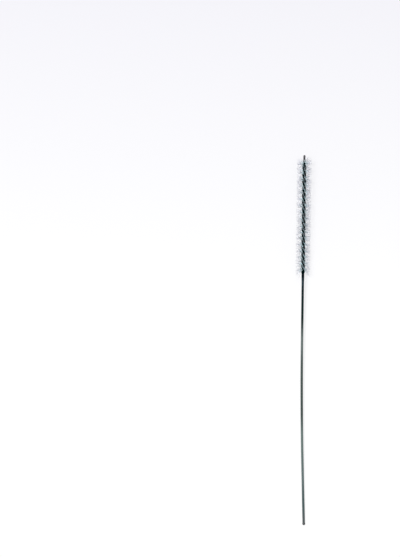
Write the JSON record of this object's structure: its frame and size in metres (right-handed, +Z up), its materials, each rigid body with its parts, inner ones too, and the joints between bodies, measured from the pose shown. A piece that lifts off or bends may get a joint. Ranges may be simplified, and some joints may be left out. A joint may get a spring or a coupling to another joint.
{
  "type": "interdental brush",
  "caption": "Wire interdental brush refill: a bowed green stem under a twisted wire head with a slim cylinder of clear nylon bristles.",
  "frame": {"origin": "on the surface that the brush lies on, under the middle of its box", "axes": "+Y along the brush towards its tip, +Z up from the surface, +X to the right seen from above"},
  "size_m": [0.0028, 0.0602, 0.0029],
  "materials": {
    "bare_steel": "bright drawn stainless wire",
    "dark_steel": "dark melted steel bead",
    "green_coat": "smooth dark green coating",
    "bristle_nylon": "clear drawn nylon"
  },
  "bodies": {
    "root": {"core_wire": "bare_steel", "coat_leg_a": "green_coat", "coat_leg_b": "green_coat", "stem_jacket": "green_coat", "end_bead": "dark_steel", "bristle_section_1": "bristle_nylon", "bristle_section_2": "bristle_nylon", "bristle_section_3": "bristle_nylon", "bristle_section_4": "bristle_nylon", "bristle_section_5": "bristle_nylon", "bristle_section_6": "bristle_nylon", "bristle_section_7": "bristle_nylon", "bristle_section_8": "bristle_nylon", "bristle_section_9": "bristle_nylon"}
  },
  "joints": []
}
